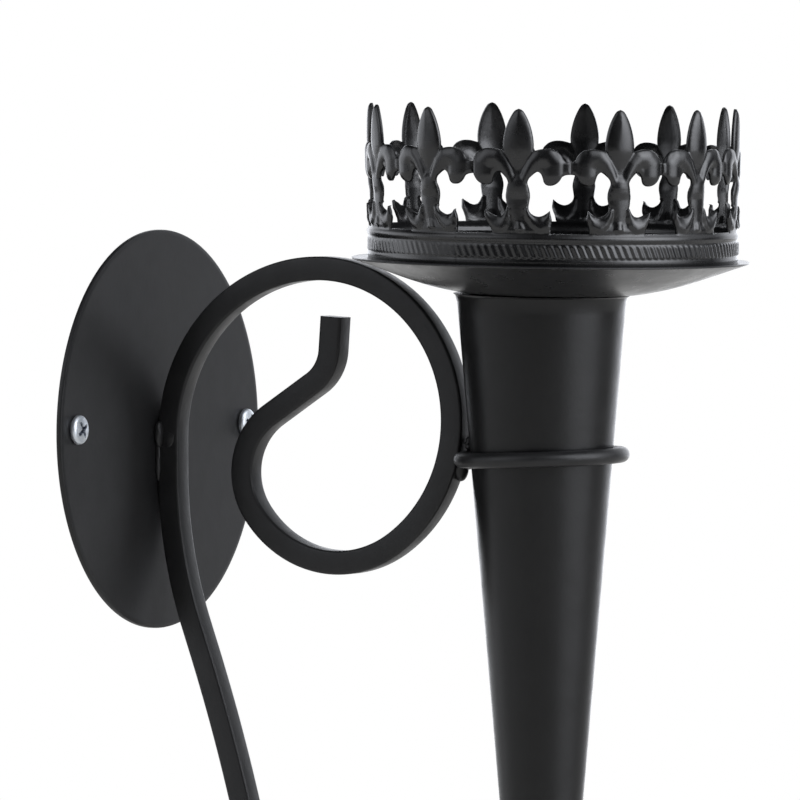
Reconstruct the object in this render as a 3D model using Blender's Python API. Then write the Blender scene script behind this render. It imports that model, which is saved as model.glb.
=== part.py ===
"""Wall sconce candle holder in the shape of a torch.

Metres, +Z up.  The origin is the middle of the wall plate's back face, the wall
is the plane Y = 0 and the sconce reaches out along -Y.  Lengths below are in
millimetres and scaled by MM where vertices are made.  The bent bar is laid out
in its own plane with u = distance out from the wall (-Y) and v = height (Z).
"""
import math

import bmesh
import bpy
from mathutils import Matrix, Vector
from mathutils.geometry import delaunay_2d_cdt

for obj in list(bpy.data.objects):
    bpy.data.objects.remove(obj, do_unlink=True)

MM = 0.001
GAP = 0.3                       # air left between neighbouring pieces
SMOOTH_ANGLE = math.radians(32)

# wall plate and its two screws
PLATE_R = 52.5
PLATE_T = 1.5
PLATE_EDGE = 0.35
SCREWS = (("wall_screw_left", -44.5, 1.0), ("wall_screw_right", 44.5, 0.4))    # name, X, Z
HOLE_R = 2.5
SHANK_R = 1.9
SHANK_TIP_R = 1.5
SHANK_BEHIND = 3.4              # shank length behind the plate's back face
SHANK_POINT = 0.4
HEAD_R = 3.8
HEAD_RIM = 0.5
HEAD_H = 1.9
RECESS_W = 1.1
RECESS_L = 4.4
RECESS_DEPTH = 1.3
RECESS_TURNS = (33, 123)
RECESS_FLOOR = 0.55             # size of the recess floor beside its mouth

# square bar, bent into a scroll with a long tail
BAR = 6.0
BAR_EDGE = 0.8
BAR_U = PLATE_T + GAP + BAR / 2
SCROLL_START_V = -2.0
# bends of the loop from the plate upward: (radius, angle), + turns left
LOOP = ((44.5, -92.5), (39.0, -143.5), (30.0, -88.5), (18.0, -92.0))
LOOP_DIAGONAL = 15.5
HOOK_BEND = (11.1, 52.5)
HOOK_STRAIGHT = 8.9
# bends of the tail from the plate downward
TAIL_STRAIGHT = 9.0
TAIL_OUT = (120.0, 19.5)
TAIL_SLOPE = 8.0
TAIL_BACK = ((480.0, -6.0), (185.0, -13.5))
FOOT_U = BAR / 2 + GAP          # bar axis where the foot curl bears on the wall
FOOT_END = ((9.0, -125.0),)
BEND_STEP = 9.0                 # degrees per facet along a tight bend
BEND_CHORD = 7.5                # longest facet along a wide bend

# weld beads: (u, v, x) of the middle and (x, u, v) half lengths
PLATE_WELDS = ((2.9, -5.0, 2.7), (2.9, -5.0, -2.7))
PLATE_WELD_SIZE = (1.5, 1.05, 8.0)

# ring that carries the torch
RING_WIRE = 4.0
RING_Z = -5.25
AXIS_U = 113.2                  # torch axis, out from the wall
RING_UPPER_WELD = ((93.15, -2.55, 0.0), (2.2, 1.5, 2.4))
RING_LOWER_WELD = ((92.8, -9.25, 0.0), (2.4, 1.7, 4.2))

# tapered sheet tube
CONE_TOP_Z = 36.05
CONE_R35 = 21.5                 # outer radius at height 35
CONE_SLOPE = 0.085
CONE_WALL = 0.8
CONE_END_Z = -170.0
CONE_TIP_DROP = 4.0
NECK_H = 1.4
NECK_FLARE = 0.9

# drip pan: (radius, height) of its top and under sides, rim to middle
PAN_OUT = 2.55                  # pan axis sits this much further out than the cone
PAN_LEAN_OUT = 1.6              # degrees the hand-fitted pan leans away from the wall
PAN_LEAN_SIDE = 1.3             # and towards -X, about the middle of its rim
PAN_PIVOT_Z = 45.0
PAN_TOP = ((50.9, 45.1), (46.2, 45.1), (44.6, 43.9), (38.3, 41.5), (33.3, 40.0),
           (26.0, 38.2), (20.0, 37.3))
PAN_UNDER = ((21.5, 36.35), (24.4, 36.7), (30.4, 37.95), (36.7, 39.75), (43.8, 42.25),
             (50.9, 44.7))

# stamped gallery strip standing on the pan's rim
FLEURS = 12
FLEUR_PHASE = 16.6              # angle of the first fleur from +X
STRIP_R = 46.8
STRIP_T = 0.8
STRIP_Z = PAN_TOP[0][1] + GAP
STRIP_OUT = 0.6                 # the strip's axis sits this much further out than the pan's
HALF_COLS = 5                   # facets of the band on each side of a fleur's middle
BASE_COLS = 3                   # of which this many carry the fleur's foot
# (height, outward relief) of the band's beaded outer face
BAND = ((0.0, 0.1), (0.7, 0.35), (1.4, 0.1), (4.8, 0.1), (5.3, 0.0), (6.4, 0.4), (7.8, 0.0))
# right half of a fleur, from its foot on the band to its tip: (sideways, height)
FLEUR_FOOT = ((7.9, 9.8), (8.4, 12.0), (8.1, 13.4), (6.7, 12.2), (5.1, 11.8), (3.6, 12.5),
              (2.7, 14.2), (3.0, 17.0), (2.4, 20.5), (3.4, 22.2), (5.0, 23.2), (6.1, 22.1),
              (6.7, 20.4), (8.2, 19.8), (9.8, 20.4), (11.0, 21.8))
WEB_LOW = 22.6
WEB_HIGH = 25.6
FLEUR_HEAD = ((11.2, 26.8), (9.4, 28.7), (7.1, 29.2), (5.2, 29.0), (3.7, 28.6),
              (3.6, 30.6), (3.0, 34.6), (1.8, 37.2))
FLEUR_TIP = 38.6
FILL_POINTS = ((0.0, 10.5), (4.6, 9.8), (0.0, 15.6), (3.2, 25.8), (0.0, 23.0),
               (7.4, 25.4), (0.0, 31.0))

BLACK = ("satin_black_coat", (0.021, 0.021, 0.022), 0.46, 0.0)
DARK = ("satin_black_sheet", (0.018, 0.018, 0.019), 0.42, 0.0)
ZINC = ("bright_zinc", (0.60, 0.64, 0.70), 0.24, 1.0)
FINISH = {
    "wall_plate": BLACK,
    "wall_screw_left": ZINC,
    "wall_screw_right": ZINC,
    "scroll_bar": BLACK,
    "holder_ring": BLACK,
    "torch_cone": DARK,
    "drip_pan": BLACK,
    "gallery_strip": BLACK,
}


def finish_object(name, bm, smooth=True):
    """Turn a bmesh into a named, coloured object of the scene."""
    bmesh.ops.recalc_face_normals(bm, faces=bm.faces)
    mesh = bpy.data.meshes.new(name)
    bm.to_mesh(mesh)
    bm.free()
    obj = bpy.data.objects.new(name, mesh)
    bpy.context.scene.collection.objects.link(obj)
    if smooth:
        mesh.shade_smooth()
        mesh.set_sharp_from_angle(angle=SMOOTH_ANGLE)
    if name in FINISH:
        _, colour, roughness, metallic = FINISH[name]
        mat = bpy.data.materials.new(name + "_finish")
        mat.use_nodes = True
        shader = mat.node_tree.nodes["Principled BSDF"]
        shader.inputs["Base Color"].default_value = (*colour, 1.0)
        shader.inputs["Roughness"].default_value = roughness
        shader.inputs["Metallic"].default_value = metallic
        mesh.materials.append(mat)
    return obj


def cutter(obj):
    """Hide an object that only shapes another one."""
    obj.hide_render = True
    obj.display_type = "WIRE"
    return obj


def combine(target, tool, operation):
    """Apply an exact boolean of tool onto target and drop the tool."""
    mod = target.modifiers.new(operation.lower(), "BOOLEAN")
    mod.operation = operation
    mod.solver = "EXACT"
    mod.object = tool
    graph = bpy.context.evaluated_depsgraph_get()
    mesh = bpy.data.meshes.new_from_object(target.evaluated_get(graph))
    target.modifiers.clear()
    old = target.data
    target.data = mesh
    bpy.data.meshes.remove(old)
    bpy.data.objects.remove(tool, do_unlink=True)
    mesh.name = target.name


def revolve(profile, segments, place):
    """Solid of revolution of (radius, height) points listed from pole to pole."""
    bm = bmesh.new()
    rings = []
    for radius, height in profile:
        if radius == 0.0:
            rings.append([bm.verts.new(place @ Vector((0, 0, height * MM)))])
            continue
        ring = []
        for i in range(segments):
            a = 2 * math.pi * i / segments
            p = Vector((radius * math.cos(a), radius * math.sin(a), height)) * MM
            ring.append(bm.verts.new(place @ p))
        rings.append(ring)
    for low, high in zip(rings, rings[1:]):
        for i in range(segments):
            j = (i + 1) % segments
            corners = [low[i % len(low)], low[j % len(low)],
                       high[j % len(high)], high[i % len(high)]]
            unique = list(dict.fromkeys(corners))
            bm.faces.new(unique)
    return bm


def ellipsoid(centre, half, segments=10, rows=6):
    """Small rounded bead; half lengths along X, Y and Z."""
    profile = [(0.0, -1.0)]
    for k in range(1, rows):
        a = math.pi * (k / rows - 0.5)
        profile.append((math.cos(a), math.sin(a)))
    profile.append((0.0, 1.0))
    place = Matrix.Translation(Vector(centre) * MM) @ Matrix.Diagonal((*half, 1.0))
    return revolve(profile, segments, place)


def bend_chain(start, heading, steps):
    """Centre line of a bent bar: points and headings of tangent arcs and straights.

    A step is (radius, angle) for a bend, + turning left, or a plain length.
    """
    u, v = start
    h = math.radians(heading)
    line = [(u, v, h)]
    for step in steps:
        if isinstance(step, tuple):
            radius, angle = step
            turn = math.radians(angle)
            arc = radius * abs(turn)
            count = max(2, math.ceil(abs(angle) / BEND_STEP), math.ceil(arc / BEND_CHORD))
            count = min(count, math.ceil(abs(angle) / 2.0)) or 2
            side = math.copysign(radius, turn)
            cu, cv = u - side * math.sin(h), v + side * math.cos(h)
            for k in range(1, count + 1):
                a = h + turn * k / count
                line.append((cu + side * math.sin(a), cv - side * math.cos(a), a))
            h += turn
        else:
            line.append((u + step * math.cos(h), v + step * math.sin(h), h))
        u, v = line[-1][0], line[-1][1]
    return line


def section(size, edge):
    """Square bar section with broken corners, as (across, x) offsets."""
    half, flat = size / 2, size / 2 - edge
    quarter = [(half, -flat), (half, flat)]
    points = []
    for turn in range(4):
        c, s = round(math.cos(turn * math.pi / 2)), round(math.sin(turn * math.pi / 2))
        points += [(c * a - s * b, s * a + c * b) for a, b in quarter]
    return points


def sweep(line, outline):
    """Closed bar of the given section along a line in the plane X = 0."""
    bm = bmesh.new()
    rings = []
    for u, v, h in line:
        nu, nv = -math.sin(h), math.cos(h)
        rings.append([bm.verts.new(Vector((x, -(u + nu * a), v + nv * a)) * MM)
                      for a, x in outline])
    count = len(outline)
    for low, high in zip(rings, rings[1:]):
        for i in range(count):
            j = (i + 1) % count
            bm.faces.new((low[i], low[j], high[j], high[i]))
    bm.faces.new(rings[0])
    bm.faces.new(rings[-1])
    return bm


def out_from_wall(u, v, x=0.0):
    """Object-space place of a point given out from the wall, up and sideways."""
    return (x, -u, v)


# ---------------------------------------------------------------- wall plate
FACING_OUT = Matrix.Rotation(math.radians(90), 4, "X")     # local +Z becomes -Y
plate = finish_object("wall_plate", revolve(
    ((0.0, 0.0), (PLATE_R - PLATE_EDGE, 0.0), (PLATE_R, PLATE_EDGE),
     (PLATE_R, PLATE_T - PLATE_EDGE), (PLATE_R - PLATE_EDGE, PLATE_T), (0.0, PLATE_T)),
    80, FACING_OUT))
for _, x, z in SCREWS:
    hole = revolve(((0.0, -1.0), (HOLE_R, -1.0), (HOLE_R, PLATE_T + 1.0), (0.0, PLATE_T + 1.0)),
                   24, Matrix.Translation((x * MM, 0, z * MM)) @ FACING_OUT)
    combine(plate, cutter(finish_object("plate_hole", hole)), "DIFFERENCE")

# -------------------------------------------------------------------- screws
HEAD_SEAT = PLATE_T + GAP
DOME = [(HEAD_R * math.cos(a), HEAD_SEAT + HEAD_RIM + (HEAD_H - HEAD_RIM) * math.sin(a))
        for a in (math.radians(d) for d in (0, 22, 45, 65))]
SCREW = [(0.0, -SHANK_BEHIND), (SHANK_TIP_R, -SHANK_BEHIND), (SHANK_R, -SHANK_BEHIND + SHANK_POINT),
         (SHANK_R, HEAD_SEAT),
         (HEAD_R - 0.3, HEAD_SEAT), (HEAD_R, HEAD_SEAT + 0.3)] + DOME
SCREW.append((0.0, HEAD_SEAT + HEAD_H))
top = HEAD_SEAT + HEAD_H
for name, x, z in SCREWS:
    place = Matrix.Translation((x * MM, 0, z * MM)) @ FACING_OUT
    screw = finish_object(name, revolve(SCREW, 20, place))
    floor = place @ Vector((0, 0, (top - RECESS_DEPTH) * MM))
    for turn in RECESS_TURNS:
        blade = bmesh.new()
        bmesh.ops.create_cube(blade, size=MM, matrix=(
            place @ Matrix.Translation((0, 0, top * MM))
            @ Matrix.Rotation(math.radians(turn), 4, "Z")
            @ Matrix.Diagonal((RECESS_L, RECESS_W, 2 * RECESS_DEPTH, 1.0))))
        for vert in blade.verts:
            if vert.co.y > floor.y - RECESS_DEPTH * MM / 2:
                vert.co.x = floor.x + (vert.co.x - floor.x) * RECESS_FLOOR
                vert.co.z = floor.z + (vert.co.z - floor.z) * RECESS_FLOOR
        combine(screw, cutter(finish_object("recess", blade, smooth=False)), "DIFFERENCE")

# ---------------------------------------------------------------- scroll bar
loop = bend_chain((BAR_U, SCROLL_START_V), 90.0,
                  (*LOOP, LOOP_DIAGONAL, HOOK_BEND, HOOK_STRAIGHT))
tail_top = bend_chain((BAR_U, SCROLL_START_V), -90.0,
                      (TAIL_STRAIGHT, TAIL_OUT, TAIL_SLOPE, *TAIL_BACK))
curl_r = (tail_top[-1][0] - FOOT_U) / 2
tail_turn = math.degrees(tail_top[-1][2]) + 90.0
tail = bend_chain((BAR_U, SCROLL_START_V), -90.0,
                  (TAIL_STRAIGHT, TAIL_OUT, TAIL_SLOPE, *TAIL_BACK,
                   (curl_r, -180.0 - tail_turn), *FOOT_END))
upward = [(u, v, h + math.pi) for u, v, h in reversed(tail)]
bar = finish_object("scroll_bar", sweep(upward + loop[1:], section(BAR, BAR_EDGE)))
for u, v, x in PLATE_WELDS:
    half = PLATE_WELD_SIZE
    bead = ellipsoid(out_from_wall(u, v, x), (half[0], half[1], half[2]))
    combine(bar, finish_object("bead", bead), "UNION")

# --------------------------------------------------------------- holder ring
def cone_radius(z):
    """Outer radius of the tapered tube at a height."""
    return CONE_R35 + CONE_SLOPE * (z - 35.0)


RING_R = cone_radius(RING_Z + RING_WIRE / 2) + GAP + RING_WIRE / 2
wire = [(RING_R + RING_WIRE / 2 * math.cos(a), RING_Z + RING_WIRE / 2 * math.sin(a))
        for a in (2 * math.pi * k / 10 for k in range(10))]
torch_place = Matrix.Translation((0, -AXIS_U * MM, 0))
ring_bm = revolve(wire + wire[:1], 48, torch_place)
bmesh.ops.remove_doubles(ring_bm, verts=ring_bm.verts, dist=1e-7)
ring = finish_object("holder_ring", ring_bm)
for (u, v, x), half in (RING_UPPER_WELD, RING_LOWER_WELD):
    combine(ring, finish_object("bead", ellipsoid(out_from_wall(u, v, x), half)), "UNION")

# ---------------------------------------------------------------- torch cone
lean_axis = Vector((-math.sin(math.radians(PAN_LEAN_SIDE)),
                    -math.sin(math.radians(PAN_LEAN_OUT)), 1.0)).normalized()
pan_pivot = Vector((0, -(AXIS_U + PAN_OUT), PAN_PIVOT_Z)) * MM
pan_place = (Matrix.Translation(pan_pivot)
             @ Vector((0, 0, 1)).rotation_difference(lean_axis).to_matrix().to_4x4()
             @ Matrix.Translation((0, 0, -PAN_PIVOT_Z * MM)))


def lean_top(bm, above):
    """Lift a tube's mouth into the plane of the leaning pan's underside."""
    for vert in bm.verts:
        if vert.co.z > above * MM:
            away = vert.co - pan_pivot
            vert.co.z -= (lean_axis.x * away.x + lean_axis.y * away.y) / lean_axis.z


neck_z = CONE_TOP_Z - NECK_H
tip_r = cone_radius(CONE_END_Z)
bore_end_z = CONE_END_Z + 2.0
outer = [(0.0, CONE_END_Z - CONE_TIP_DROP), (tip_r * 0.6, CONE_END_Z - CONE_TIP_DROP * 0.85),
         (tip_r * 0.93, CONE_END_Z - CONE_TIP_DROP * 0.4), (tip_r, CONE_END_Z)]
outer += [(cone_radius(z), z) for z in (-130.0, -90.0, -50.0, -10.0, neck_z)]
outer += [(cone_radius(CONE_TOP_Z) + NECK_FLARE * 0.3, CONE_TOP_Z - NECK_H * 0.4),
          (cone_radius(CONE_TOP_Z) + NECK_FLARE, CONE_TOP_Z - NECK_H * 0.1),
          (cone_radius(CONE_TOP_Z) + NECK_FLARE, CONE_TOP_Z)]
inner = [(cone_radius(z) - CONE_WALL, z) for z in (CONE_TOP_Z, -50.0, bore_end_z)]
cone_bm = revolve(outer + inner + [(0.0, bore_end_z)], 64, torch_place)
lean_top(cone_bm, neck_z + NECK_H / 2)
finish_object("torch_cone", cone_bm)

# ------------------------------------------------------------------ drip pan
pan = finish_object("drip_pan", revolve(
    [(0.0, PAN_UNDER[0][1])] + list(PAN_UNDER) + list(PAN_TOP) + [(0.0, PAN_TOP[-1][1])],
    72, pan_place))

# ------------------------------------------------------------- gallery strip
PITCH = 2 * math.pi * STRIP_R / FLEURS
COL = PITCH / 2 / HALF_COLS
strip_place = pan_place @ Matrix.Translation((0, -STRIP_OUT * MM, 0))
INNER_R = STRIP_R - STRIP_T / 2
OUTER_R = STRIP_R + STRIP_T / 2


def strip_faces():
    """Triangles of one fleur and its half webs in the unrolled plane."""
    right = [(s, z) for s, z in FLEUR_FOOT] + [(PITCH / 2, WEB_LOW), (PITCH / 2, WEB_HIGH)]
    right += list(FLEUR_HEAD)
    left = [(-s, z) for s, z in reversed(right)]
    base_z = BAND[-1][0]
    base = [(k * COL, base_z) for k in range(-BASE_COLS, BASE_COLS + 1)]
    outline = base + right + [(0.0, FLEUR_TIP)] + left
    points = [Vector(p) for p in outline]
    for s, z in FILL_POINTS:
        points.append(Vector((s, z)))
        if s:
            points.append(Vector((-s, z)))
    n = len(outline)
    edges = [(i, (i + 1) % n) for i in range(n)]
    verts, _, faces, _, _, _ = delaunay_2d_cdt(points, edges, [list(range(n))], 1, 1e-6)
    return [(v.x, v.y) for v in verts], faces, outline


def make_strip():
    """Closed ring of fleurs on a beaded band, built tile by tile."""
    bm = bmesh.new()
    cache = {}

    def vert(tile, s, z, radius):
        angle = math.radians(FLEUR_PHASE) + (tile * PITCH + s) / STRIP_R
        turn = round(angle / (2 * math.pi) * 1e6) % 1000000
        key = (turn, round(z * 1000), round(radius * 1000))
        if key not in cache:
            p = Vector((radius * math.cos(angle), radius * math.sin(angle), STRIP_Z + z)) * MM
            cache[key] = bm.verts.new(strip_place @ p)
        return cache[key]

    flat, tris, outline = strip_faces()
    top = len(BAND) - 1
    wall = [(outline[i], outline[(i + 1) % len(outline)]) for i in range(len(outline))]
    wall = [(a, b) for a, b in wall
            if not (a[1] == b[1] == BAND[top][0])
            and not (abs(a[0]) > PITCH / 2 - 1e-3 and abs(b[0]) > PITCH / 2 - 1e-3)]
    columns = range(-HALF_COLS, HALF_COLS)
    heights = [z for z, _ in BAND]
    radii = [OUTER_R + relief for _, relief in BAND]

    for tile in range(FLEURS):
        for col in columns:
            s0, s1 = col * COL, (col + 1) * COL
            for row in range(top):
                bm.faces.new([vert(tile, s, heights[k], radii[k]) for s, k in
                              ((s0, row), (s1, row), (s1, row + 1), (s0, row + 1))])
            a, b = vert(tile, s0, 0.0, INNER_R), vert(tile, s1, 0.0, INNER_R)
            c, d = vert(tile, s1, heights[top], INNER_R), vert(tile, s0, heights[top], INNER_R)
            bm.faces.new((b, a, d, c))
            bm.faces.new((vert(tile, s1, 0.0, radii[0]), vert(tile, s0, 0.0, radii[0]), a, b))
            if not -BASE_COLS <= col < BASE_COLS:
                bm.faces.new((vert(tile, s0, heights[top], OUTER_R),
                              vert(tile, s1, heights[top], OUTER_R), c, d))
        for tri in tris:
            corners = [flat[i] for i in tri]
            bm.faces.new([vert(tile, s, z, OUTER_R) for s, z in corners])
            bm.faces.new([vert(tile, s, z, INNER_R) for s, z in reversed(corners)])
        for (s0, z0), (s1, z1) in wall:
            bm.faces.new((vert(tile, s0, z0, OUTER_R), vert(tile, s0, z0, INNER_R),
                          vert(tile, s1, z1, INNER_R), vert(tile, s1, z1, OUTER_R)))
    return bm


finish_object("gallery_strip", make_strip())
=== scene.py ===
"""Looks of the torch-shaped wall sconce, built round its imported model.

Metres, +Z up.  The wall is the plane Y = 0 and the sconce reaches out along -Y.
Lengths in the tables are millimetres and become metres through MM.
"""
import math

import bmesh
import bpy
import numpy as np
from mathutils import Matrix, Vector
from mathutils.geometry import delaunay_2d_cdt


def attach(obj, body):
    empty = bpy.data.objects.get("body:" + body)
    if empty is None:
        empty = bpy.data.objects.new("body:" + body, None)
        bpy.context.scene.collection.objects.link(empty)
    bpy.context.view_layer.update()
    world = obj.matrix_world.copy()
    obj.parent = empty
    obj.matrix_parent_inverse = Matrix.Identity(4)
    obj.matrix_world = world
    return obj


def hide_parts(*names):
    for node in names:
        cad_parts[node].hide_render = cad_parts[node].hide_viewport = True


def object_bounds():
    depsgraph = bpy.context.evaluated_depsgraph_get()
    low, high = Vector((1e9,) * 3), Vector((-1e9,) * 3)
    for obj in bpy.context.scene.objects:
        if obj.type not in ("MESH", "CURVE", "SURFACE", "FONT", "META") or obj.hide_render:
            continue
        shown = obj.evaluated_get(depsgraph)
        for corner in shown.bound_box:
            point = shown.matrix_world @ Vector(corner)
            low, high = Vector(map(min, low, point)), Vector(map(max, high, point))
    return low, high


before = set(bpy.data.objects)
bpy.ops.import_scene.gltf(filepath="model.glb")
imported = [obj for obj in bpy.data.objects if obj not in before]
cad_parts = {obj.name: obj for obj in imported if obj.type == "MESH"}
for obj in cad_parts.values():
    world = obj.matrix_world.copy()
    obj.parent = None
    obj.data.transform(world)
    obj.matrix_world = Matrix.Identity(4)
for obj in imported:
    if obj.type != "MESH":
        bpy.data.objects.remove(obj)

CAD_LO, CAD_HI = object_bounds()
MM = 0.001

# ------------------------------------------------------------ shared sizes
# Radii, thicknesses, X and Z; a name ending in U is a distance from the wall along -Y.
PLATE_R = 52.5
PLATE_T = 1.5
# name, X, Z and turn of the cross recess in degrees
SCREWS = (("screw_left", -44.5, 1.0, 33.0), ("screw_right", 44.5, 0.4, 70.0))
HOLE_R = 2.5
SHANK_R = 1.9
SHANK_BEHIND = 3.4
HEAD_R = 3.8
HEAD_SEAT = 1.8
HEAD_RIM = 0.5
HEAD_H = 1.9
BAR = 6.2
BAR_U = 4.8
AXIS_U = 113.2
PAN_OUT = 2.55
PAN_PIVOT_Z = 45.0
PAN_LEAN_OUT = 1.6
PAN_LEAN_SIDE = 1.3
LIP_Z = 45.1
RING_Z = -5.25
RING_WIRE = 4.0
# the ring was welded on a little askew: its front left is the low side
RING_TILT = math.radians(1.9)
RING_TILT_AZ = math.radians(-62.0)
RING_SINK = 0.25
CONE_R35 = 21.65
CONE_SLOPE = 0.085
CONE_TOP_Z = 36.05
CONE_END_Z = -170.0
CONE_TIP = 4.0
CONE_FLOOR_Z = CONE_END_Z + 2.0
CONE_WALL = 0.8
RING_CLEAR = 0.15
FLEURS = 12
FLEUR_PHASE = 16.6
# how far each fleur above the band stands off its even place, in degrees
FLEUR_TURN = (0, 0, 1.0, 0.6, -1.0, -1.25, -1.2, 0.4, 0.1, 0.4, 0, -0.3)
STRIP_R = 46.8
STRIP_OUT = 0.6
STRIP_Z = 45.4
STRIP_T = 0.8
# the strip's end laps over its start at the seam; the ribs behind the seam are worn
SEAM_ANGLE = 175.6
LAP = 0.12
LAP_RUN = 14.0
WORN_RIBS = 0.35
# fleurs on one side are bent outwards: direction in degrees, lean at the tips
BENT_SIDE = math.radians(117.7)
BENT_OUT = 1.3


# ---------------------------------------------------------------- materials
class Nodes:
    """Small helper that adds and links nodes of one material."""

    def __init__(self, mat):
        self.tree = mat.node_tree
        self.add = self.tree.nodes.new
        self.link = self.tree.links.new

    def coords(self):
        return self.add("ShaderNodeTexCoord").outputs["Object"]

    def noise(self, vector, size, detail=3.0, rough=0.5):
        """Noise whose features are about `size` metres across."""
        mapping = self.add("ShaderNodeMapping")
        mapping.inputs["Scale"].default_value = [1 / size] * 3
        self.link(vector, mapping.inputs["Vector"])
        tex = self.add("ShaderNodeTexNoise")
        tex.inputs["Scale"].default_value = 1.0
        tex.inputs["Detail"].default_value = detail
        tex.inputs["Roughness"].default_value = rough
        self.link(mapping.outputs["Vector"], tex.inputs["Vector"])
        return tex.outputs["Fac"]

    def remap(self, value, low, high, to_low, to_high):
        node = self.add("ShaderNodeMapRange")
        node.interpolation_type = "SMOOTHSTEP"
        for name, v in (("From Min", low), ("From Max", high), ("To Min", to_low), ("To Max", to_high)):
            node.inputs[name].default_value = v
        self.link(value, node.inputs["Value"])
        return node.outputs["Result"]

    def mix(self, factor, a, b):
        node = self.add("ShaderNodeMix")
        node.data_type = "RGBA"
        for socket, value in ((node.inputs[6], a), (node.inputs[7], b)):
            if hasattr(value, "is_linked"):
                self.link(value, socket)
            else:
                socket.default_value = (*value, 1.0)
        self.link(factor, node.inputs["Factor"])
        return node.outputs[2]

    def math(self, operation, a, b):
        node = self.add("ShaderNodeMath")
        node.operation = operation
        for socket, value in zip(node.inputs, (a, b)):
            if hasattr(value, "is_linked"):
                self.link(value, socket)
            else:
                socket.default_value = value
        return node.outputs[0]

    def bump(self, height, distance, strength=1.0, normal=None):
        node = self.add("ShaderNodeBump")
        node.inputs["Strength"].default_value = strength
        node.inputs["Distance"].default_value = distance
        self.link(height, node.inputs["Height"])
        if normal is not None:
            self.link(normal, node.inputs["Normal"])
        return node.outputs["Normal"]


def coat(name, dark, light, rough, spread, peel, wave, wear=0.0, gloss=0.5):
    """Satin black paint: orange peel, slow waviness, dust and rubbed patches."""
    mat = bpy.data.materials.new(name)
    mat.use_nodes = True
    n = Nodes(mat)
    shader = mat.node_tree.nodes["Principled BSDF"]
    at = n.coords()
    patch = n.noise(at, 0.014, 4.0, 0.6)
    speck = n.noise(at, 0.0007, 2.0, 0.7)
    tone = n.mix(n.remap(patch, 0.3, 0.72, 0.0, 1.0), dark, light)
    dust = n.remap(speck, 0.63, 0.80, 0.0, 0.35)
    tone = n.mix(dust, tone, (light[0] * 2.2, light[1] * 2.2, light[2] * 2.1))
    rub = n.noise(at, 0.006, 3.0, 0.6)
    grain = n.remap(rub, 0.25, 0.75, rough - spread, rough + spread)
    n.link(grain, shader.inputs["Roughness"])
    if wear:
        mark = n.remap(n.noise(at, 0.0022, 5.0, 0.75), 0.70, 0.78, 0.0, wear)
        tone = n.mix(mark, tone, (0.055, 0.053, 0.05))
    n.link(tone, shader.inputs["Base Color"])
    slow = n.bump(n.noise(at, 0.009, 2.0, 0.5), wave)
    fine = n.bump(n.noise(at, 0.0011, 3.0, 0.55), peel, normal=slow)
    n.link(fine, shader.inputs["Normal"])
    shader.inputs["Specular IOR Level"].default_value = gloss
    return mat


def zinc(name, dark, light):
    """Bluish plating with faint turning marks: bright on the heads, darkened into painted shade in the cross
    recesses.
    """
    mat = bpy.data.materials.new(name)
    mat.use_nodes = True
    n = Nodes(mat)
    shader = mat.node_tree.nodes["Principled BSDF"]
    at = n.coords()
    cloud = n.noise(at, 0.0025, 4.0, 0.6)
    tone = n.mix(n.remap(cloud, 0.3, 0.7, 0.0, 1.0), dark, light)
    n.link(tone, shader.inputs["Base Color"])
    shader.inputs["Metallic"].default_value = 1.0
    n.link(n.remap(cloud, 0.2, 0.8, 0.36, 0.50), shader.inputs["Roughness"])
    n.link(n.bump(n.noise(at, 0.0005, 3.0, 0.6), 0.00002), shader.inputs["Normal"])
    return mat


PLATE_COAT = coat("plate_coat", (0.0108, 0.0108, 0.0113), (0.0130, 0.0130, 0.0136),
                  rough=0.42, spread=0.03, peel=0.000016, wave=0.00003)
BAR_COAT = coat("bar_coat", (0.0140, 0.0140, 0.0145), (0.0195, 0.0195, 0.0200),
                rough=0.39, spread=0.06, peel=0.00004, wave=0.0001, wear=0.25)
CONE_COAT = coat("cone_coat", (0.0048, 0.0048, 0.0050), (0.0064, 0.0064, 0.0067),
                 rough=0.33, spread=0.04, peel=0.00002, wave=0.00006)
# the pan's black paint is made lighter than the other parts' to stand for the light on its underside:
# painted light
PAN_COAT_LIT = coat("pan_coat_lit", (0.0215, 0.0215, 0.0224), (0.0265, 0.0265, 0.0276),
                rough=0.30, spread=0.04, peel=0.000010, wave=0.00002)
STRIP_COAT = coat("strip_coat", (0.0070, 0.0070, 0.0073), (0.0110, 0.0110, 0.0115),
                  rough=0.26, spread=0.05, peel=0.00002, wave=0.00003, wear=0.2, gloss=0.85)
ZINC = zinc("zinc_plating", (0.86, 0.92, 0.98), (0.94, 0.97, 1.0))
# a darkened copy of the plating: painted shade inside the screws' cross recesses
RECESS_SHADE = zinc("recess_painted_shade", (0.16, 0.18, 0.23), (0.26, 0.29, 0.35))


# ----------------------------------------------------------------- builders
def add_piece(name, verts, faces, material, nodes, body, sharp=35.0):
    """Weld, orient and shade millimetre points into a piece on its body, hiding the CAD nodes it stands for.
    """
    mesh = bpy.data.meshes.new(name)
    mesh.from_pydata([tuple(v) for v in np.asarray(verts) * MM], [], [tuple(f) for f in faces])
    bm = bmesh.new()
    bm.from_mesh(mesh)
    bmesh.ops.remove_doubles(bm, verts=bm.verts, dist=1e-7)
    bmesh.ops.recalc_face_normals(bm, faces=bm.faces)
    bm.to_mesh(mesh)
    bm.free()
    mesh.shade_smooth()
    mesh.set_sharp_from_angle(angle=math.radians(sharp))
    obj = bpy.data.objects.new(name, mesh)
    bpy.context.scene.collection.objects.link(obj)
    mesh.materials.append(material)
    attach(obj, body)
    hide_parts(*nodes)
    return obj


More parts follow.
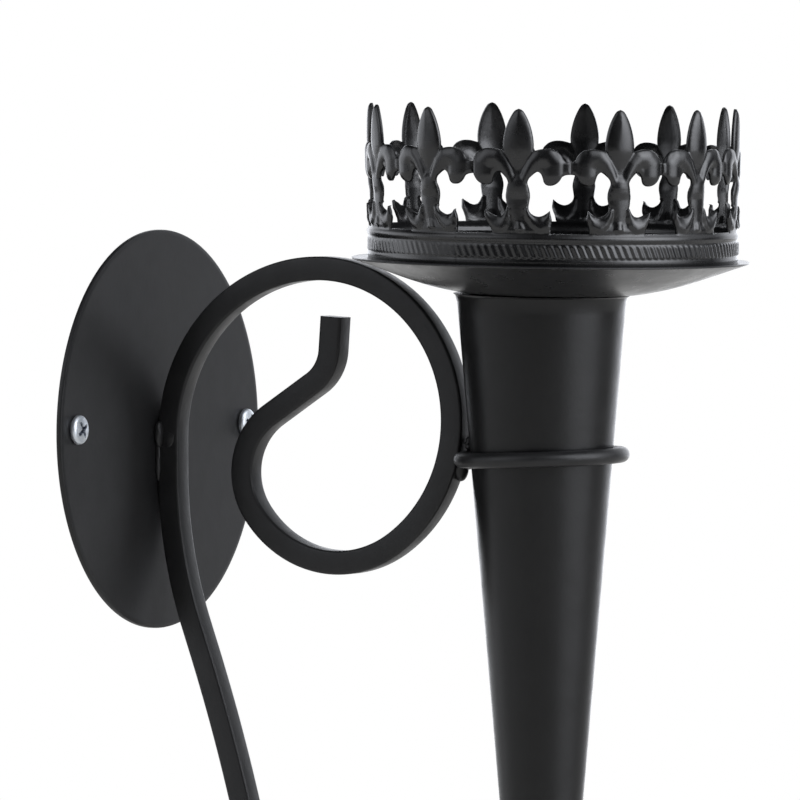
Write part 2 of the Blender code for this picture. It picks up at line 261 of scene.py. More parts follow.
def revolve(profile, segments, closed=False):
    """Points and faces of (radius, height) turned about +Z; radius 0 is a pole."""
    verts, rings, faces = [], [], []
    angles = np.arange(segments) * 2 * math.pi / segments
    for radius, height in profile:
        start = len(verts)
        if radius == 0.0:
            verts.append((0.0, 0.0, height))
            rings.append([start])
        else:
            verts.extend(zip(radius * np.cos(angles), radius * np.sin(angles), [height] * segments))
            rings.append(list(range(start, start + segments)))
    pairs = list(zip(rings, rings[1:]))
    if closed:
        pairs.append((rings[-1], rings[0]))
    for low, high in pairs:
        for i in range(segments):
            j = (i + 1) % segments
            quad = [low[i % len(low)], low[j % len(low)], high[j % len(high)], high[i % len(high)]]
            faces.append(list(dict.fromkeys(quad)))
    return np.array(verts), faces


def arc(cx, cy, radius, start, end, count):
    """Points of a circular arc, angles in degrees."""
    return [(cx + radius * math.cos(math.radians(start + (end - start) * k / count)),
             cy + radius * math.sin(math.radians(start + (end - start) * k / count)))
            for k in range(count + 1)]


def place(verts, matrix):
    """Apply a 4x4 matrix to an array of points."""
    m = np.array(matrix)
    return np.asarray(verts) @ m[:3, :3].T + m[:3, 3]


def spline(points, spacing):
    """Catmull-Rom points about `spacing` apart through the given points."""
    p = np.array(points, float)
    p = np.vstack([2 * p[0] - p[1], p, 2 * p[-1] - p[-2]])
    out = [p[1]]
    for a, b, c, d in zip(p, p[1:], p[2:], p[3:]):
        count = max(1, math.ceil(np.linalg.norm(c - b) / spacing))
        for k in range(1, count + 1):
            t = k / count
            out.append(0.5 * (2 * b + (c - a) * t + (2 * a - 5 * b + 4 * c - d) * t * t
                              + (3 * b - a - 3 * c + d) * t ** 3))
    return np.array(out)


TURN_OUT = Matrix.Rotation(math.radians(90), 4, "X")      # local +Z becomes -Y


# --------------------------------------------------------------- wall plate
def circle(cx, cy, radius, count):
    """Points of a circle, counter-clockwise."""
    a = np.arange(count) * 2 * math.pi / count
    return np.stack([cx + radius * np.cos(a), cy + radius * np.sin(a)], 1)


def plate_mesh():
    """Disc with two holes and softened edges; rings next to every edge keep the flats flat."""
    rim, hole = 240, 48
    centres = [(x, z) for _, x, z, _ in SCREWS]
    # (how far inside the outer edge, how far outside a hole's edge, height)
    soft = [(1.2, 1.0, 0.0), (0.30, 0.30, 0.0), (0.09, 0.09, 0.09), (0.0, 0.0, 0.30)]
    soft += [(0.0, 0.0, PLATE_T - 0.45), (0.13, 0.13, PLATE_T - 0.13)]
    soft += [(0.45, 0.45, PLATE_T), (1.4, 1.2, PLATE_T)]
    verts, faces, loops = [], [], []
    for inward, outward, height in soft:
        rings = [circle(0, 0, PLATE_R - inward, rim)]
        rings += [circle(cx, cz, HOLE_R + outward, hole)[::-1] for cx, cz in centres]
        starts = []
        for ring in rings:
            starts.append((len(verts), len(ring)))
            verts += [(x, -height, z) for x, z in ring]
        loops.append(starts)
    for low, high in zip(loops, loops[1:]):
        for (a, n), (b, _) in zip(low, high):
            faces += [(a + i, a + (i + 1) % n, b + (i + 1) % n, b + i) for i in range(n)]
    for starts, (_, outward, _) in ((loops[0], soft[0]), (loops[-1], soft[-1])):
        flat, edges = [], []
        for a, n in starts:
            base = len(flat)
            flat += [a + i for i in range(n)]
            edges += [(base + i, base + (i + 1) % n) for i in range(n)]
        points = [Vector((verts[i][0], verts[i][2])) for i in flat]
        outer = list(range(starts[0][1]))
        # triangles whose middle is nearer than this to a hole's middle lie in the hole
        in_hole = 0.996 * (HOLE_R + outward)
        done = delaunay_2d_cdt(points, edges, [outer], 1, 1e-7)
        for tri in done[2]:
            middle = sum((done[0][i] for i in tri), Vector((0, 0))) / 3
            if all((middle - Vector(c)).length > in_hole for c in centres):
                faces.append(tuple(flat[done[3][i][0]] for i in tri))
    return verts, faces


v, f = plate_mesh()
add_piece("plate_disc", v, f, PLATE_COAT, ["wall_plate"], "bracket")


# ------------------------------------------------------------------- screws
THREAD_PITCH, THREAD_DEPTH = 0.7, 0.28
# cross recess: half width, how much it tapers outwards, wall, end, depth
RECESS_HALF, RECESS_TAPER, RECESS_WALL, RECESS_END, RECESS_DEPTH = 0.62, 0.10, 0.16, 2.35, 1.25
# a face lines the recess within this reach, below the crown and above the head's seat by these; such faces
# are painted darker as the recess's shade
RECESS_REACH, RECESS_DROP, RECESS_ABOVE = 2.5, 0.45, 0.6


def screw_mesh():
    """Pan-head screw with a tapering cross recess and a thread, along +Z."""
    segments = 96
    turns = np.arange(segments) * 2 * math.pi / segments
    rows = [(0.0, -SHANK_BEHIND, 0.0), (SHANK_R - 0.5, -SHANK_BEHIND, 0.0)]
    rows += [(SHANK_R, h, 1.0) for h in np.arange(-SHANK_BEHIND + 0.4, HEAD_SEAT - 0.5, 0.09)]
    rows += [(SHANK_R - 0.1, HEAD_SEAT - 0.3, 0.0), (SHANK_R, HEAD_SEAT, 0.0)]
    rows += [(x, z, 0.0) for x, z in arc(HEAD_R - 0.2, HEAD_SEAT + 0.2, 0.2, -90, 0, 4)]
    rows += [(HEAD_R, HEAD_SEAT + HEAD_RIM, 0.0)]
    dome = HEAD_H - HEAD_RIM
    slopes = np.radians([6, 12, 19, 27, 36])
    rows += [(HEAD_R * math.cos(a) ** 0.8, HEAD_SEAT + HEAD_RIM + dome * math.sin(a) ** 0.8, 0.0)
             for a in slopes]
    crown = HEAD_R * math.cos(slopes[-1]) ** 0.8
    rows += [(r, None, 0.0) for r in np.linspace(crown, 0.0, 30)[1:]]
    top = HEAD_SEAT + HEAD_H
    edge = HEAD_SEAT + HEAD_RIM + dome * math.sin(slopes[-1]) ** 0.8
    verts, rings, faces = [], [], []
    for radius, height, thread in rows:
        ring = []
        for turn in turns if radius > 0 else [0.0]:
            r, z = radius, height
            if thread:
                saw = (height / THREAD_PITCH - turn / (2 * math.pi)) % 1.0
                r -= THREAD_DEPTH * min(1.0, 2.2 * abs(saw - 0.5) * 2)
            if height is None:
                z = top - (top - edge) * (radius / crown) ** 2
                across = min(abs(r * math.sin(turn)), abs(r * math.cos(turn)))
                along = max(abs(r * math.sin(turn)), abs(r * math.cos(turn)))
                side = np.clip((RECESS_HALF - RECESS_TAPER * along - across) / RECESS_WALL, 0, 1)
                end = np.clip((RECESS_END - along) / 0.5, 0, 1)
                z -= RECESS_DEPTH * side * side * (3 - 2 * side) * end
            ring.append(len(verts))
            verts.append((r * math.cos(turn), r * math.sin(turn), z))
        rings.append(ring)
    for low, high in zip(rings, rings[1:]):
        for i in range(segments):
            j = (i + 1) % segments
            quad = [low[i % len(low)], low[j % len(low)], high[j % len(high)], high[i % len(high)]]
            faces.append(list(dict.fromkeys(quad)))
    return np.array(verts), faces


for name, x, z, turn in SCREWS:
    v, f = screw_mesh()
    at = Matrix.Translation((x, 0, z)) @ TURN_OUT @ Matrix.Rotation(math.radians(turn), 4, "Z")
    screw = add_piece(name, place(v, at), f, ZINC, ["wall_" + name], "bracket", 40.0)
    # faces deep in the cross recess take the darkened plating: painted shade in the recess
    screw.data.materials.append(RECESS_SHADE)
    for face in screw.data.polygons:
        spot = at.inverted() @ (face.center / MM)
        recess_shaded = HEAD_SEAT + RECESS_ABOVE < spot.z < HEAD_SEAT + HEAD_H - RECESS_DROP
        if recess_shaded and math.hypot(spot.x, spot.y) < RECESS_REACH:
            face.material_index = 1


# -------------------------------------------------------------- weld beads
def bead(centre, half, ripples, seed):
    """Rippled, slightly lumpy weld bead; half lengths along X, Y and Z."""
    rows, segments = 40, 40
    profile = [(0.0, -1.0)]
    profile += [(math.cos(a), math.sin(a)) for a in np.linspace(-math.pi / 2, math.pi / 2, rows)[1:-1]]
    profile.append((0.0, 1.0))
    v, f = revolve(profile, segments)
    angle = np.arctan2(v[:, 1], v[:, 0])
    swell = 1 + 0.07 * np.sin(v[:, 2] * math.pi * ripples + 0.5 * np.sin(angle))
    swell += 0.05 * np.sin(3 * angle + seed) * np.sin(5 * v[:, 2] + 2 * seed)
    v[:, :2] *= swell[:, None]
    return v * np.array(half) + np.array(centre), f


def join(parts):
    """One vertex and face list from several."""
    verts, faces, start = [], [], 0
    for v, f in parts:
        verts.append(np.asarray(v))
        faces += [tuple(i + start for i in face) for face in f]
        start += len(v)
    return np.vstack(verts), faces


# --------------------------------------------------------------- scroll bar
def bend_chain(start, heading, steps, spacing=0.9):
    """Points and headings of tangent arcs (radius, angle) and straights (length)."""
    u, v = start
    h = math.radians(heading)
    line = [(u, v, h)]
    for step in steps:
        if isinstance(step, tuple):
            radius, angle = step
            turn = math.radians(angle)
            count = max(2, math.ceil(radius * abs(turn) / spacing))
            side = math.copysign(radius, turn)
            cu, cv = u - side * math.sin(h), v + side * math.cos(h)
            for k in range(1, count + 1):
                a = h + turn * k / count
                line.append((cu + side * math.sin(a), cv - side * math.cos(a), a))
            h += turn
        else:
            count = max(1, math.ceil(step / spacing))
            for k in range(1, count + 1):
                line.append((u + step * k / count * math.cos(h), v + step * k / count * math.sin(h), h))
        u, v = line[-1][0], line[-1][1]
    return line


# beads on both sides of the bar where it meets the plate: middle, half lengths, ripples
PLATE_WELDS = ((3.15, -2.4, -1.3, (1.7, 1.25, 3.4), 1), (3.05, -2.0, -8.2, (0.8, 0.75, 5.4), 3),
               (2.85, -4.8, -2.6, (0.65, 2.2, 2.2), 1))
LOOP = ((44.5, -92.5), (39.0, -143.5), (30.0, -88.5), (18.0, -92.0), 15.5, (11.1, 52.5), 8.9)
TAIL = (9.0, (120.0, 19.5), 8.0, (480.0, -6.0), (185.0, -13.5))
loop = bend_chain((BAR_U, -2.0), 90.0, LOOP)
tail = bend_chain((BAR_U, -2.0), -90.0, TAIL)
curl_r = (tail[-1][0] - 3.3) / 2
tail = bend_chain((BAR_U, -2.0), -90.0, TAIL + ((curl_r, -180.0), (9.0, -125.0)))
line = [(u, v, h + math.pi) for u, v, h in reversed(tail)] + loop[1:]


def bar_section(size, edge, steps):
    """Square section with rounded corners as (across, sideways) offsets."""
    h = size / 2 - edge
    pts = []
    for cx, cy, a in ((h, h, 0), (-h, h, 90), (-h, -h, 180), (h, -h, 270)):
        pts += arc(cx, cy, edge, a, a + 90, steps)
    return pts


section = bar_section(BAR, 0.75, 4)
verts, faces = [], []
count = len(section)
for k, (u, v, h) in enumerate(line):
    nu, nv = -math.sin(h), math.cos(h)
    for a, x in section:
        verts.append((x, -(u + nu * a), v + nv * a))
for k in range(len(line) - 1):
    for i in range(count):
        j = (i + 1) % count
        faces.append((k * count + i, k * count + j, (k + 1) * count + j, (k + 1) * count + i))
faces.append(tuple(range(count)))
faces.append(tuple(range((len(line) - 1) * count, len(line) * count)))
welds = []
for side in (-1, 1):
    for k, (x, y, z, half, ripples) in enumerate(PLATE_WELDS):
        welds.append(bead((side * x, y, z), half, ripples, (k + 1) * side))
verts, faces = join([(verts, faces)] + welds)
add_piece("bar_scroll", verts, faces, BAR_COAT, ["scroll_bar"], "bracket")


# -------------------------------------------------------------- holder ring
def cone_radius(z):
    """Outer radius of the tapered tube at a height."""
    return CONE_R35 + CONE_SLOPE * (z - 35.0)


# beads where the ring meets the loop: middle along -Y, Z, half lengths, ripples
RING_WELDS = ((92.95, -2.55, (2.2, 1.4, 2.4), 4), (92.3, -7.4, (2.3, 1.9, 1.7), 1),
              (89.9, -9.0, (2.1, 2.2, 3.2), 1))
RING_R = cone_radius(RING_Z + RING_WIRE / 2) + RING_CLEAR + RING_WIRE / 2
wire = arc(RING_R, RING_Z, RING_WIRE / 2, 0, 360, 32)[:-1]
v, f = revolve(wire, 192, closed=True)
TORCH = Matrix.Translation((0, -AXIS_U, 0))
welds = [bead((0, -u, z), half, ripples, k + 1) for k, (u, z, half, ripples) in enumerate(RING_WELDS)]
tilt_axis = Vector((math.sin(RING_TILT_AZ), -math.cos(RING_TILT_AZ), 0))
RING = (TORCH @ Matrix.Translation((0, 0, RING_Z - RING_SINK)) @ Matrix.Rotation(RING_TILT, 4, tilt_axis)
        @ Matrix.Translation((0, 0, -RING_Z)))
v, f = join([(place(v, RING), f)] + welds)
add_piece("ring_wire", v, f, BAR_COAT, ["holder_ring"], "bracket")

# --------------------------------------------------------------- torch cone
tip_r = cone_radius(CONE_END_Z)
outer = [(tip_r * math.sin(math.radians(a)), CONE_END_Z - CONE_TIP * math.cos(math.radians(a)))
         for a in (0, 15, 30, 45, 60, 75)]
outer += [(cone_radius(z), z) for z in np.linspace(CONE_END_Z, CONE_TOP_Z - 1.8, 60)]
top_r = cone_radius(CONE_TOP_Z)
# the top edge turns out: (further out, further down)
turned = ((0.05, 1.3), (0.18, 0.8), (0.42, 0.4), (0.8, 0.1), (0.9, 0.0))
outer += [(top_r + out_by, CONE_TOP_Z - down) for out_by, down in turned]
inner = [(cone_radius(z) - CONE_WALL, z) for z in (CONE_TOP_Z, 0.0, -100.0, CONE_FLOOR_Z)]
v, f = revolve(outer + inner + [(0.0, CONE_FLOOR_Z)], 160)
v = place(v, TORCH)

# frame of the leaning pan, and of the strip on it
side_lean, out_lean = math.sin(math.radians(PAN_LEAN_SIDE)), math.sin(math.radians(PAN_LEAN_OUT))
lean = Vector((-side_lean, -out_lean, 1.0)).normalized()
pivot = Vector((0, -(AXIS_U + PAN_OUT), PAN_PIVOT_Z))
PAN = (Matrix.Translation(pivot) @ Vector((0, 0, 1)).rotation_difference(lean).to_matrix().to_4x4()
       @ Matrix.Translation((0, 0, -PAN_PIVOT_Z)))
# the turned top edge follows the pan's lean
near_top = v[:, 2] > CONE_TOP_Z - 0.7
away = v[near_top] - np.array(pivot)
v[near_top, 2] -= (lean.x * away[:, 0] + lean.y * away[:, 1]) / lean.z
add_piece("cone_tube", v, f, CONE_COAT, ["torch_cone"], "torch")

# ----------------------------------------------------------------- drip pan
# (radius, height) of the pan's upper and under side, from the lip in and from the middle out
PAN_FLOOR_Z, PAN_BOTTOM_Z = 37.3, 36.35
pan_top = [(50.6, LIP_Z), (46.4, LIP_Z), (45.4, 44.7), (44.0, 43.7), (38.3, 41.5),
           (33.3, 40.0), (26.0, 38.2), (20.0, PAN_FLOOR_Z)]
pan_under = [(21.5, PAN_BOTTOM_Z), (24.4, 36.72), (30.4, 37.95), (36.7, 39.78), (43.8, 42.25), (50.55, 44.6)]
LIP_R = 50.9
LIP_EDGE = 0.22
under = [tuple(p) for p in spline(pan_under, 1.0)]
over = [tuple(p) for p in spline(pan_top, 1.0)]
lip = arc(LIP_R - LIP_EDGE, LIP_Z - LIP_EDGE, LIP_EDGE, -50, 80, 6)
v, f = revolve([(0.0, PAN_BOTTOM_Z)] + under + lip + over + [(0.0, PAN_FLOOR_Z)], 256)
add_piece("pan_dish", place(v, PAN), f, PAN_COAT_LIT, ["drip_pan"], "torch")

# ------------------------------------------------------------ gallery strip
PITCH = 2 * math.pi * STRIP_R / FLEURS
BAND_H = 7.8
BAND_COLS, BAND_ROWS = 78, 26
RIBS = 13
WEB = (22.6, 25.6)
# right half of a fleur, from the band up, in runs that meet at corners
FOOT = ((7.3, BAND_H), (7.7, 9.4), (8.4, 11.4), (8.15, 13.6))
SCOOP = ((8.15, 13.6), (7.2, 12.85), (6.2, 12.3), (5.1, 12.1), (4.0, 12.4), (3.1, 13.2), (2.7, 14.3))
WAIST = ((2.7, 14.3), (2.85, 15.6), (3.05, 17.2), (2.8, 18.9), (2.4, 20.4))
ARMPIT = ((2.4, 20.4), (2.75, 21.5), (3.6, 22.4), (4.5, 23.1), (5.1, 23.2), (5.8, 22.6), (6.2, 21.6))
CURL = ((6.2, 21.6), (6.5, 20.6), (7.2, 19.95), (8.2, 19.8), (9.3, 20.1), (10.3, 20.9), (11.0, 22.0))
WEB_UNDER = ((11.0, 22.0), (11.6, 22.5), (PITCH / 2, WEB[0]))
WEB_OVER = ((PITCH / 2, WEB[1]), (11.8, 25.7), (11.5, 25.9))
ARM_TOP = ((11.5, 25.9), (11.2, 26.5), (10.8, 27.3), (9.8, 28.25), (8.6, 28.8), (7.2, 29.0), (5.8, 28.9),
           (4.7, 28.65), (3.75, 28.4))
SPEAR_EDGE = ((3.75, 28.4), (3.8, 30.0), (3.6, 31.8), (3.2, 33.6), (2.6, 35.4), (1.8, 37.1), (0.95, 38.35),
              (0.0, 38.85))
RUNS = (FOOT, SCOOP + WAIST[1:] + ARMPIT[1:] + CURL[1:], WEB_UNDER, WEB_OVER, ARM_TOP, SPEAR_EDGE)
# the embossed spear and arm; the spear's base narrows down behind the arms
SPEAR_BASE = ((-3.3, 26.4), (-2.5, 24.4), (-1.5, 22.5), (-0.6, 21.2))
SPEAR = (SPEAR_EDGE + tuple((-s, z) for s, z in SPEAR_EDGE[-2::-1]) + SPEAR_BASE
         + tuple((-s, z) for s, z in SPEAR_BASE[::-1]))
ARM = (ARM_TOP[::-1] + ((11.75, 24.6), (11.5, 23.2)) + CURL[::-1] + ARMPIT[-2::-1]
       + ((1.9, 19.6), (0.7, 20.4), (1.2, 21.6), (2.1, 23.2), (3.0, 25.0), (3.6, 26.8)))
# centre lines of the rounded arm and crescent, with their half widths
ARM_LINE = ((0.9, 19.2), (1.5, 21.0), (2.4, 23.0), (3.7, 25.2), (5.5, 26.7), (7.4, 26.6), (8.8, 25.0),
            (8.8, 22.6))
ARM_WIDTH = (1.1, 1.3, 1.5, 1.9, 2.4, 2.6, 2.7, 2.7)
CRESCENT = ((8.05, 13.3), (7.6, 11.6), (6.4, 10.2), (5.0, 9.8), (3.7, 10.5), (2.8, 12.0), (2.3, 13.8))
CRESCENT_WIDTH = (0.4, 1.15, 1.65, 1.9, 1.6, 1.15, 0.6)
# the stem's height and half width up its length
STEM_HEIGHT = ((8.0, 0.3), (11.0, 0.5), (14.0, 0.6), (16.5, 0.65), (18.2, 0.95), (19.6, 1.05), (21.0, 0.95),
               (23.0, 0.4))
STEM_WIDTH = ((8.0, 1.5), (12.0, 1.9), (15.0, 2.9), (23.0, 2.9))
# heights of the stamped shapes above the sheet
SHEET_SWELL, SPEAR_UP, ARM_EDGE_UP, ARM_UP, CRESCENT_UP, DROP_UP = 0.25, 0.95, 0.38, 0.9, 0.85, 0.75
# beads of the band: middle, half width, height
LOW_BEAD, HIGH_BEAD = (0.75, 0.75, 0.14), (6.45, 0.85, 0.42)
RIB_LEAN = math.tan(math.radians(23))
RIB_BASE, RIB_UP = 0.08, 0.22
# the fleurs stand back from the band's face
SET_BACK = 0.45


def strip_outline():
    """Outline of one fleur, its half webs and its stretch of band, unrolled."""
    # a run starts where the one before ended, except the first and the web's upper edge
    right = np.vstack([spline(run, 0.3)[0 if k in (0, 3) else 1:] for k, run in enumerate(RUNS)])[:-1]
    side = np.array([(PITCH / 2, z) for z in np.linspace(0.0, BAND_H, BAND_ROWS + 1)])
    top = np.array([(s, BAND_H) for s in np.arange(PITCH / 2 - 0.4, 7.5, -0.4)])
    half = np.vstack([side, top, right])
    bottom = np.array([(s, 0.0) for s in np.linspace(-PITCH / 2, PITCH / 2, BAND_COLS + 1)[1:-1]])
    return np.vstack([bottom, half, [SPEAR_EDGE[-1]], half[::-1] * np.array([-1, 1])])


def outline_distance(points, loop):
    """Distance of every point to a closed outline."""
    best = np.full(len(points), 1e9)
    for p, q in zip(loop, np.roll(loop, -1, axis=0)):
        d = q - p
        t = np.clip(((points - p) @ d) / max(d @ d, 1e-12), 0, 1)
        best = np.minimum(best, np.linalg.norm(points - p - np.outer(t, d), axis=1))
    return best


def inside(points, loop):
    """Which points lie inside a closed outline."""
    x, y = points[:, 0], points[:, 1]
    hit = np.zeros(len(points), bool)
    for (x0, y0), (x1, y1) in zip(loop, np.roll(loop, -1, axis=0)):
        crosses = (y0 > y) != (y1 > y)
        with np.errstate(divide="ignore", invalid="ignore"):
            hit ^= crosses & (x < (x1 - x0) * (y - y0) / (y1 - y0) + x0)
    return hit


def pillow(points, loop, height, shoulder):
    """Relief that rises from an outline to its height over a rounded shoulder."""
    loop = np.array(loop, float)
    t = np.clip(outline_distance(points, loop) / shoulder, 0, 1)
    return np.where(inside(points, loop), height * (1 - (1 - t) ** 2) ** 0.72, 0.0)


def smooth(value, low, high):
    """0 below low, 1 above high, easing between."""
    t = np.clip((value - low) / (high - low), 0, 1)
    return t * t * (3 - 2 * t)


def stroke(points, line, widths, power):
    """Rounded relief, 0 to 1, along a line whose half width changes."""
    line = np.array(line, float)
    best = np.zeros(len(points))
    for p, q, r0, r1 in zip(line, line[1:], widths, widths[1:]):
        d = q - p
        t = np.clip(((points - p) @ d) / (d @ d), 0, 1)
        gap = np.linalg.norm(points - p - np.outer(t, d), axis=1)
        best = np.maximum(best, np.clip(1 - (gap / (r0 + (r1 - r0) * t)) ** 2, 0, 1) ** power)
    return best


def fleur_relief(points, edge):
    """Outward relief of the stamped fleur above the band, in millimetres."""
    s, z = np.abs(points[:, 0]), points[:, 1]
    flat = np.stack([s, z], 1)
    up = SHEET_SWELL * (1 - (1 - np.clip(edge / 0.9, 0, 1)) ** 2) ** 0.7
    spear = pillow(points, SPEAR, SPEAR_UP, 3.6) * (0.3 + 0.7 * smooth(z, 22.5, 29.5))
    up = np.maximum(up, spear)
    up = np.maximum(up, pillow(flat, ARM, ARM_EDGE_UP, 1.3))
    up = np.maximum(up, ARM_UP * stroke(flat, ARM_LINE, ARM_WIDTH, 0.75))
    up = np.maximum(up, CRESCENT_UP * stroke(flat, CRESCENT, CRESCENT_WIDTH, 0.75))
    stem = np.clip(1 - (s / np.interp(z, *zip(*STEM_WIDTH))) ** 2, 0, 1) ** 0.65
    up = np.maximum(up, np.interp(z, *zip(*STEM_HEIGHT)) * stem * smooth(-z, -24.0, -21.0))
    width = np.interp(z, [8.0, 9.2, 11.5], [1.2, 1.4, 0.6])
    drop = np.clip(1 - (s / width) ** 2, 0, 1) ** 0.6 * smooth(z, 8.0, 8.8) * smooth(-z, -12.0, -10.2)
    up = np.maximum(up, DROP_UP * drop)
    return up


def band_relief(points, ribs):
    """Beads and slanted ribs of the band; ribs scales the ribs' height."""
    z = points[:, 1]
    low, high = (up * np.clip(1 - ((z - middle) / half) ** 2, 0, 1) ** 0.5
                 for middle, half, up in (LOW_BEAD, HIGH_BEAD))
    turn = 2 * math.pi * RIBS * (points[:, 0] + RIB_LEAN * z) / PITCH
    fade = smooth(z, 1.4, 1.9) * smooth(-z, -5.2, -4.6)
    return np.maximum(np.maximum(low, high), fade * (RIB_BASE + RIB_UP * ribs * (0.5 + 0.5 * np.cos(turn))))


def strip_tile():
    """Points, triangles and edge distance of one unrolled tile."""
    outline = strip_outline()
    n = len(outline)
    following = np.roll(outline, -1, axis=0)
    normal = np.stack([-(following - outline)[:, 1], (following - outline)[:, 0]], 1)
    normal /= np.linalg.norm(normal, axis=1)[:, None]
    mitre = normal + np.roll(normal, 1, axis=0)
    mitre /= np.linalg.norm(mitre, axis=1)[:, None]
    shaped = (outline[:, 1] > BAND_H + 0.05) & (np.abs(outline[:, 0]) < PITCH / 2 - 0.05)
    ring = outline[shaped] + mitre[shaped] * 0.15
    band_s = np.linspace(-PITCH / 2, PITCH / 2, BAND_COLS + 1)[1:-1]
    band_z = np.linspace(0.0, BAND_H, BAND_ROWS + 1)[1:-1]
    grid = np.array([(s, z) for z in band_z for s in band_s])
    step = 0.40
    rows = np.arange(BAND_H + 0.3, SPEAR_EDGE[-1][1], step * 0.866)
    fill = np.array([(s + (step / 2 if k % 2 else 0), z) for k, z in enumerate(rows)
                     for s in np.arange(-12.0, 12.0, step)])
    fill = fill[outline_distance(fill, outline) > 0.32]
    points = [Vector(p) for p in np.vstack([outline, ring, grid, fill])]
    edges = [(i, (i + 1) % n) for i in range(n)]
    verts, _, tris, _, _, _ = delaunay_2d_cdt(points, edges, [list(range(n))], 1, 1e-6)
    flat = np.array([(p.x, p.y) for p in verts])
    free = ~((np.abs(outline[:, 0]) > PITCH / 2 - 1e-6) & (np.abs(following[:, 0]) > PITCH / 2 - 1e-6))
    edge = np.full(len(flat), 1e9)
    for p, q in zip(outline[free], following[free]):
        d = q - p
        t = np.clip(((flat - p) @ d) / (d @ d), 0, 1)
        edge = np.minimum(edge, np.linalg.norm(flat - p - np.outer(t, d), axis=1))
    return flat, [tuple(t) for t in tris], edge


flat, tris, edge = strip_tile()
height = np.where(flat[:, 1] > BAND_H, fleur_relief(flat, edge), 0.0)
sunk = SET_BACK * smooth(flat[:, 1], BAND_H - 0.6, 11.0)
height = np.maximum(height * smooth(flat[:, 1], BAND_H - 0.2, BAND_H + 1.0), 0) - sunk
round_off = 0.13 * (1 - np.clip(edge / 0.28, 0, 1)) ** 2
pairs = {(t[i], t[(i + 1) % 3]) for t in tris for i in range(3)}
seam_side = np.abs(np.abs(flat[:, 0]) - PITCH / 2) < 1e-5
rim = sorted((i, j) for i, j in pairs if (j, i) not in pairs and not (seam_side[i] and seam_side[j]))
count = len(flat)
all_verts, all_faces = [], []
for tile in range(FLEURS):
    angle = math.radians(FLEUR_PHASE + 360.0 / FLEURS * tile) + flat[:, 0] / STRIP_R
    behind = (SEAM_ANGLE - np.degrees(angle)) % 360.0
    lap = np.where(behind < LAP_RUN, LAP * (1 - behind / LAP_RUN), 0.0) * smooth(-flat[:, 1], -11.0, -8.0)
    ribs = WORN_RIBS + (1 - WORN_RIBS) * smooth(behind, 40.0, 75.0)
    raised = height + np.where(flat[:, 1] <= BAND_H, band_relief(flat, ribs), 0.0)
    outside = STRIP_R + STRIP_T / 2 + raised - round_off + lap
    within = STRIP_R - STRIP_T / 2 + 0.9 * raised + 0.6 * round_off + lap
    toward = np.cos(angle - BENT_SIDE)
    bend = BENT_OUT * np.clip((flat[:, 1] - BAND_H) / 30.0, 0, 1) * smooth(toward, 0.1, 0.6)
    shift_x, shift_y = bend * math.cos(BENT_SIDE), bend * math.sin(BENT_SIDE)
    foot = np.where(flat[:, 1] < 1e-6, STRIP_Z - LIP_Z - 0.02, 0.0)
    base = 2 * count * tile
    off_web = smooth(-np.abs(flat[:, 0]), -PITCH / 2, -PITCH / 2 + 1.2)
    angle = angle + math.radians(FLEUR_TURN[tile]) * smooth(flat[:, 1], BAND_H, 13.0) * off_web
    for radius in (outside, within):
        all_verts.append(np.stack([radius * np.cos(angle) + shift_x, radius * np.sin(angle) + shift_y,
                                   STRIP_Z + flat[:, 1] - foot], 1))
    all_faces += [(base + i, base + j, base + k) for i, j, k in tris]
    all_faces += [(base + count + k, base + count + j, base + count + i) for i, j, k in tris]
    all_faces += [(base + j, base + i, base + count + i, base + count + j) for i, j in rim]
STRIP = PAN @ Matrix.Translation((0, -STRIP_OUT, 0))
add_piece("gallery_ring", place(np.vstack(all_verts), STRIP), all_faces, STRIP_COAT,
          ["gallery_strip"], "torch", 55.0)

# ------------------------------------------------------- floor, camera, light
FLOOR_DROP = 0.30
FLOOR_R = 3.8
floor_mesh = bpy.data.meshes.new("floor")
ring = [(FLOOR_R * math.cos(a), FLOOR_R * math.sin(a), CAD_LO.z - FLOOR_DROP)
        for a in np.linspace(0, 2 * math.pi, 97)[:-1]]
floor_mesh.from_pydata(ring, [], [tuple(range(96))])
floor = bpy.data.objects.new("floor", floor_mesh)
bpy.context.scene.collection.objects.link(floor)
floor_mat = bpy.data.materials.new("floor_paper")
floor_mat.use_nodes = True
nodes = Nodes(floor_mat)
paper = floor_mat.node_tree.nodes["Principled BSDF"]
paper.inputs["Roughness"].default_value = 0.9
tone = nodes.mix(nodes.noise(nodes.coords(), 0.4), (0.90, 0.877, 0.826), (0.93, 0.906, 0.854))
nodes.link(tone, paper.inputs["Base Color"])
floor_mesh.materials.append(floor_mat)

VIEW_AZ, VIEW_EL, VIEW_D = math.radians(-62.272), math.radians(1.6), 1.8
VIEW_SIDE, VIEW_RISE = 0.063967, 0.007587
VIEW_LENS = 307.2


def outward(azimuth, elevation):
    """Unit vector away from the sconce; azimuth 0 is straight out from the wall."""
    level = math.cos(elevation)
    return Vector((math.sin(azimuth) * level, -math.cos(azimuth) * level, math.sin(elevation)))


back = outward(VIEW_AZ, VIEW_EL)
right = (-back).cross(Vector((0, 0, 1))).normalized()
up = right.cross(-back)
camera_data = bpy.data.cameras.new("camera")
camera_data.sensor_width = 36.0
camera_data.lens = VIEW_LENS
camera_data.clip_start, camera_data.clip_end = 0.1, 50.0
camera = bpy.data.objects.new("camera", camera_data)
bpy.context.scene.collection.objects.link(camera)
camera.matrix_world = Matrix((
    (right.x, up.x, back.x, 0), (right.y, up.y, back.y, 0), (right.z, up.z, back.z, 0), (0, 0, 0, 1)))
camera.location = right * VIEW_SIDE + up * VIEW_RISE + back * VIEW_D
bpy.context.scene.camera = camera

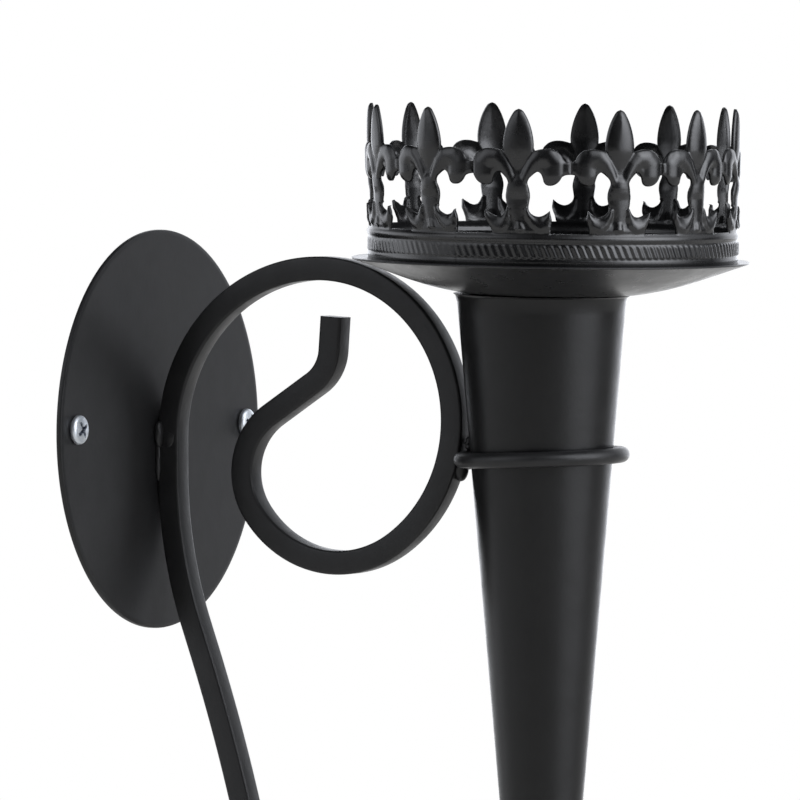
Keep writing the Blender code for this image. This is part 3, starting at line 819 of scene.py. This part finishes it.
# a low soft panel behind the torch, on the side away from the camera
PANEL_AZ, PANEL_EL, PANEL_D = math.radians(110.0), math.radians(-15.0), 1.2
PANEL_SIZE = (1.1, 0.36)
PANEL_AIM = Vector((0, -0.06, 0))
PANEL_LEVEL = 0.52
away = outward(PANEL_AZ, PANEL_EL)
panel_data = bpy.data.lights.new("low_panel", "AREA")
panel_data.shape = "RECTANGLE"
panel_data.size, panel_data.size_y = PANEL_SIZE
panel_data.energy = PANEL_LEVEL * math.pi * PANEL_SIZE[0] * PANEL_SIZE[1]
panel = bpy.data.objects.new("low_panel", panel_data)
bpy.context.scene.collection.objects.link(panel)
panel.location = PANEL_AIM + away * PANEL_D
panel.rotation_euler = away.to_track_quat("Z", "Y").to_euler()
panel.visible_camera = False

# soft boxes round the sconce: azimuth and elevation in degrees, strength
BOXES = ((0, 0, 2.3), (0, 30, 2.0), (-22, 33, 1.2), (32, 30, 0.6), (90, 0, 1.45), (120, 0, 2.0),
         (90, 30, 0.35), (150, 0, 0.6), (180, 0, 1.25), (-150, 5, 0.35), (-120, 0, 0.2), (-120, 30, 0.9),
         (0, 90, 0.4))
BOX_EDGE, BOX_CORE = 33.0, 3.0

world = bpy.data.worlds.new("studio")
bpy.context.scene.world = world
world.use_nodes = True
tree = world.node_tree
tree.nodes.clear()
w = Nodes(world)
coord = w.add("ShaderNodeTexCoord").outputs["Generated"]
level = None
for azimuth, elevation, strength in BOXES:
    dot = w.add("ShaderNodeVectorMath")
    dot.operation = "DOT_PRODUCT"
    dot.inputs[1].default_value = outward(math.radians(azimuth), math.radians(elevation))
    w.link(coord, dot.inputs[0])
    box = w.remap(dot.outputs["Value"], math.cos(math.radians(BOX_EDGE)), math.cos(math.radians(BOX_CORE)),
                  0.0, strength)
    level = box if level is None else w.math("ADD", level, box)
studio = w.add("ShaderNodeBackground")
w.link(level, studio.inputs["Strength"])
studio.inputs["Color"].default_value = (0.955, 0.98, 1.04, 1)
plain = w.add("ShaderNodeBackground")
plain.inputs["Color"].default_value = (1, 1, 1, 1)
plain.inputs["Strength"].default_value = 1.0
path = w.add("ShaderNodeLightPath")
mixer = w.add("ShaderNodeMixShader")
w.link(path.outputs["Is Camera Ray"], mixer.inputs[0])
w.link(studio.outputs[0], mixer.inputs[1])
w.link(plain.outputs[0], mixer.inputs[2])
out = w.add("ShaderNodeOutputWorld")
w.link(mixer.outputs[0], out.inputs["Surface"])
bpy.context.scene.view_settings.view_transform = "Standard"
